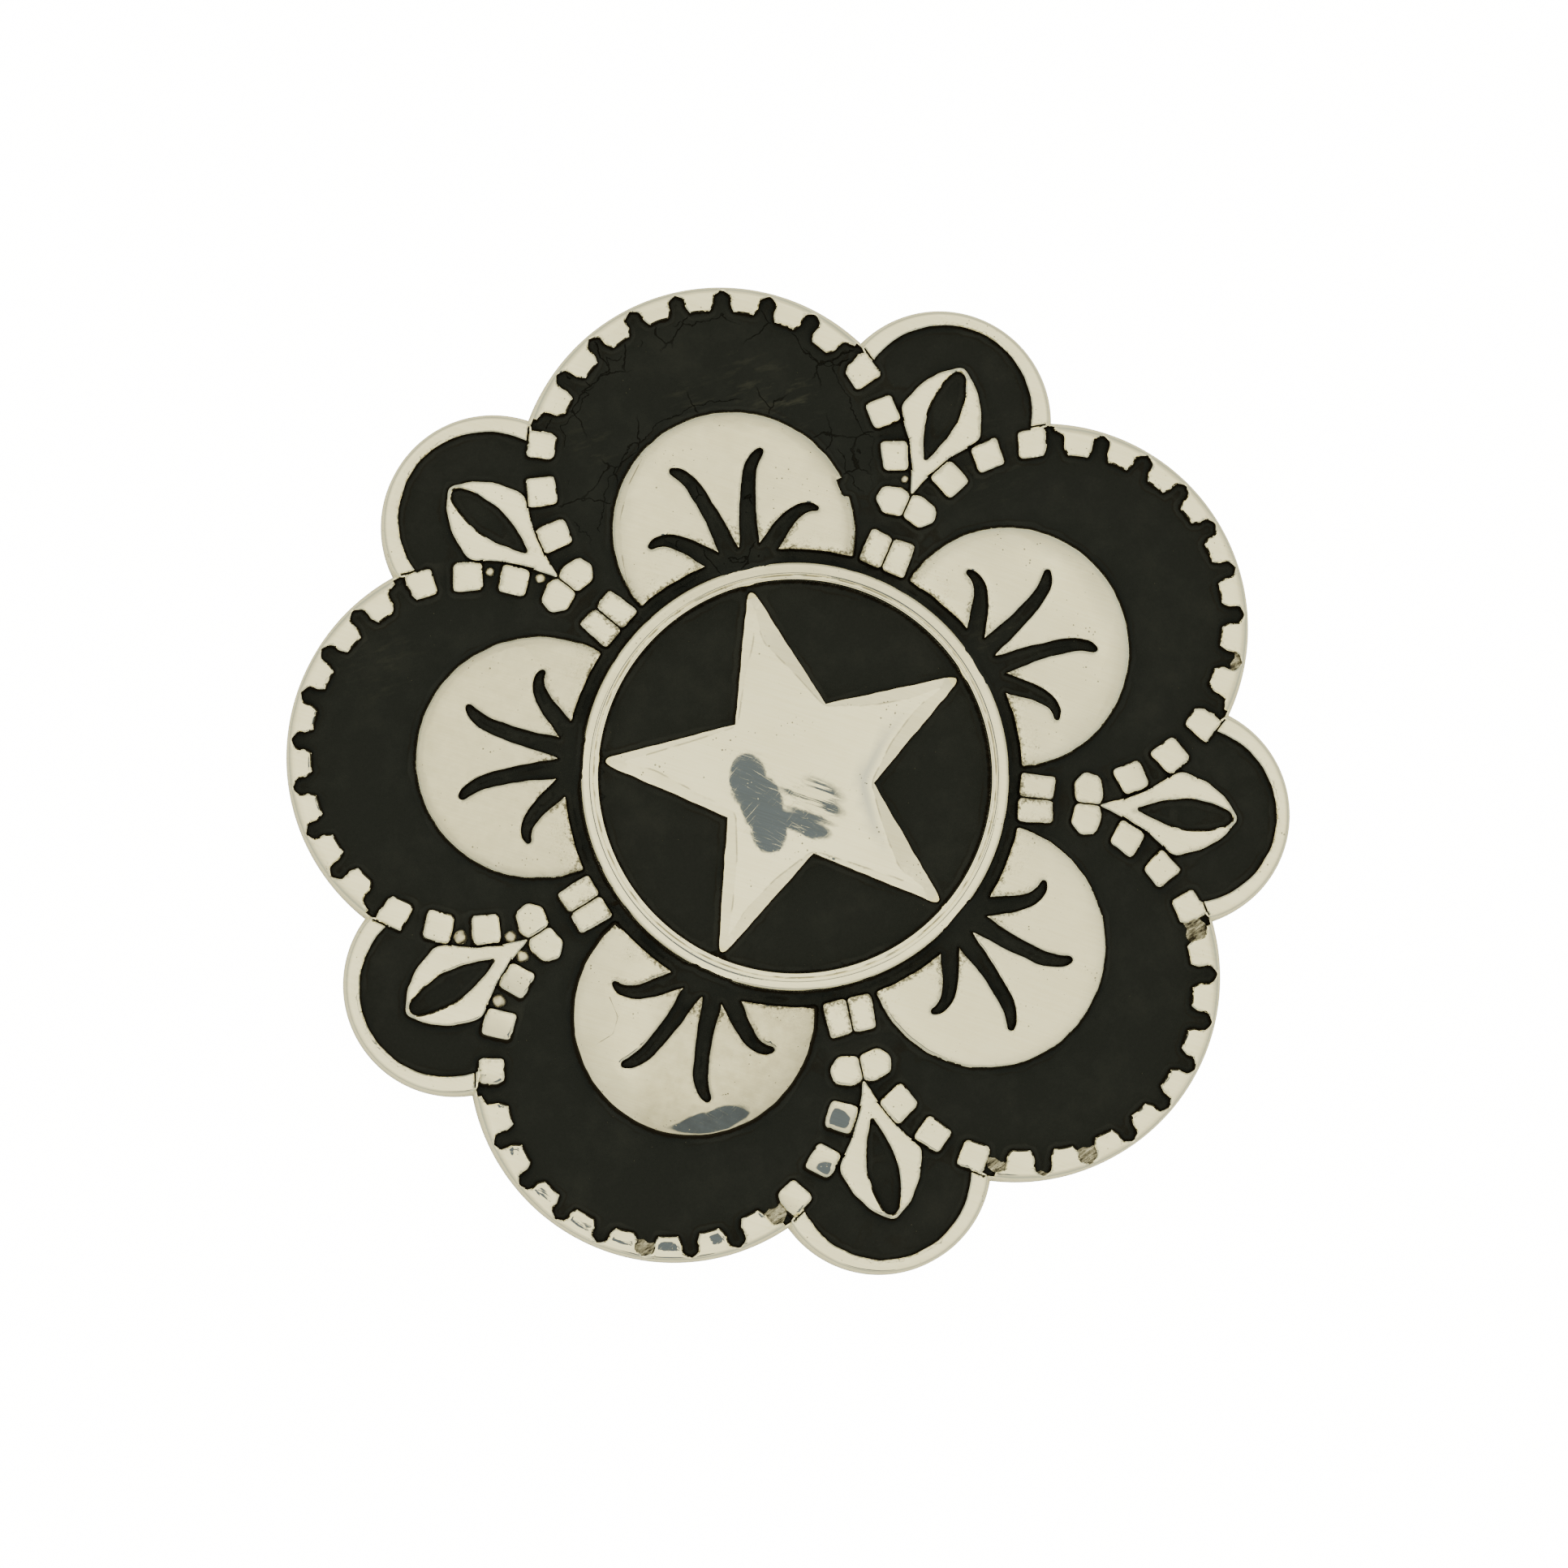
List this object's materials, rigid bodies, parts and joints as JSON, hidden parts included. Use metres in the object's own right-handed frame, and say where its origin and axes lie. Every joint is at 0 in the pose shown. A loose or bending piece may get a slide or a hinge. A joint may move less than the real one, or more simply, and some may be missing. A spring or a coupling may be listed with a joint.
{
  "type": "concho",
  "caption": "Domed cast concho with a scalloped outline, toothed petal rims, fans, leaves, a ring and a raised star over black recesses; hollow back with a screw boss.",
  "frame": {"origin": "middle of the concho on the plane of its flat back rim", "axes": "+Z out of the decorated face, +Y along the axis of one petal"},
  "size_m": [0.037, 0.0381, 0.0049],
  "materials": {
    "silver_casting": "polished",
    "black_fill": "matte"
  },
  "bodies": {
    "root": {"concho": "silver_casting"}
  },
  "joints": []
}
